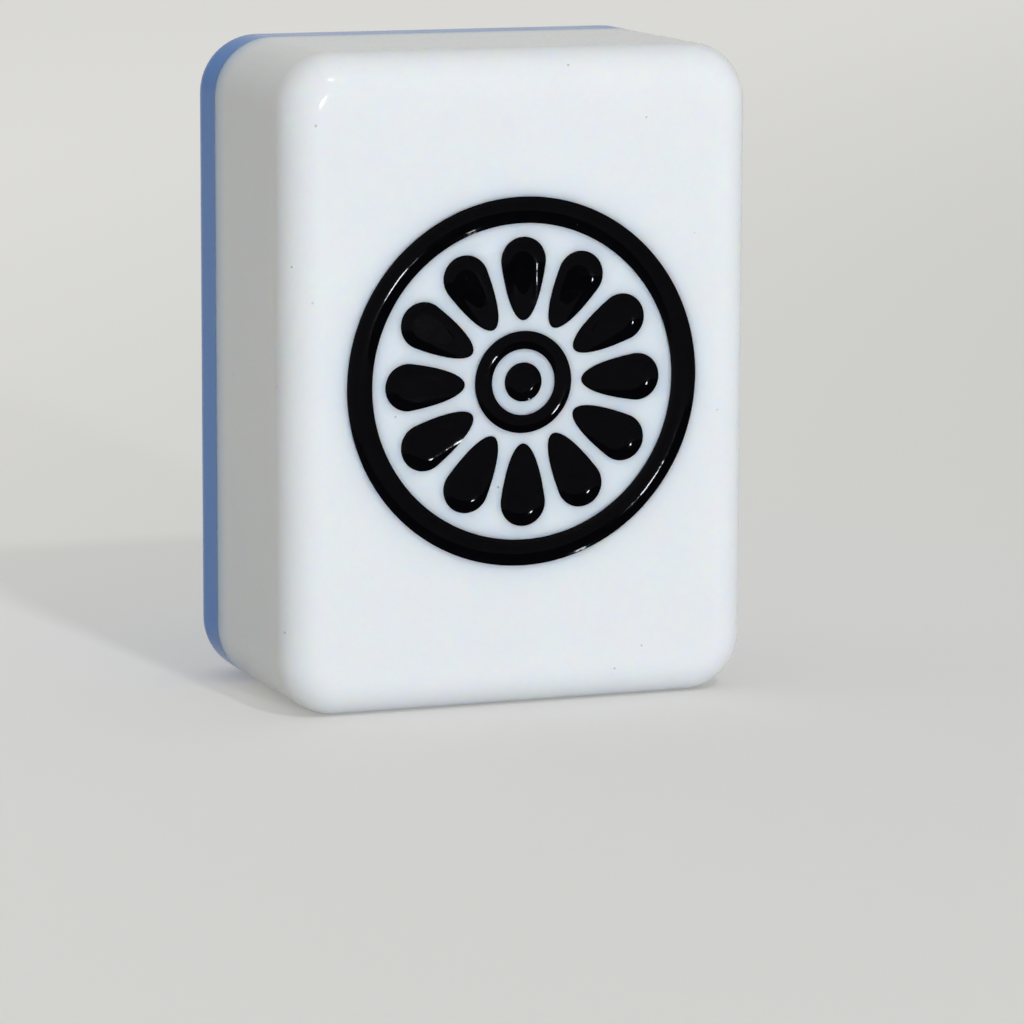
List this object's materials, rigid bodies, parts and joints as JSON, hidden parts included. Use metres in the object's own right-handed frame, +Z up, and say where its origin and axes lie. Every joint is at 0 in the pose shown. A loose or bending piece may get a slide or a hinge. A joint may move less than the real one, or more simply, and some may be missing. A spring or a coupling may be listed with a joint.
{
  "type": "mahjong tile",
  "caption": "Layered mahjong tile: a white rounded block with an engraved, enamel-filled round medallion on its face, bonded to a blue back plate; stands or lies on its flat faces.",
  "frame": {"origin": "middle of the footprint of the tile standing on its short end, on the surface that it stands on", "axes": "+Z up along the tile's height, X along its width, +Y from the engraved face to the blue back"},
  "size_m": [0.03, 0.019, 0.04],
  "materials": {
    "white_plastic": "polished",
    "blue_plastic": "polished",
    "black_enamel": "glossy enamel"
  },
  "bodies": {
    "root": {"face_block": "white_plastic", "back_plate": "blue_plastic", "rim_inlay": "black_enamel", "ring_inlay": "black_enamel", "heart_inlay": "black_enamel", "petal_inlay_1": "black_enamel", "petal_inlay_2": "black_enamel", "petal_inlay_3": "black_enamel", "petal_inlay_4": "black_enamel", "petal_inlay_5": "black_enamel", "petal_inlay_6": "black_enamel", "petal_inlay_7": "black_enamel", "petal_inlay_8": "black_enamel", "petal_inlay_9": "black_enamel", "petal_inlay_10": "black_enamel", "petal_inlay_11": "black_enamel", "petal_inlay_12": "black_enamel"}
  },
  "joints": []
}
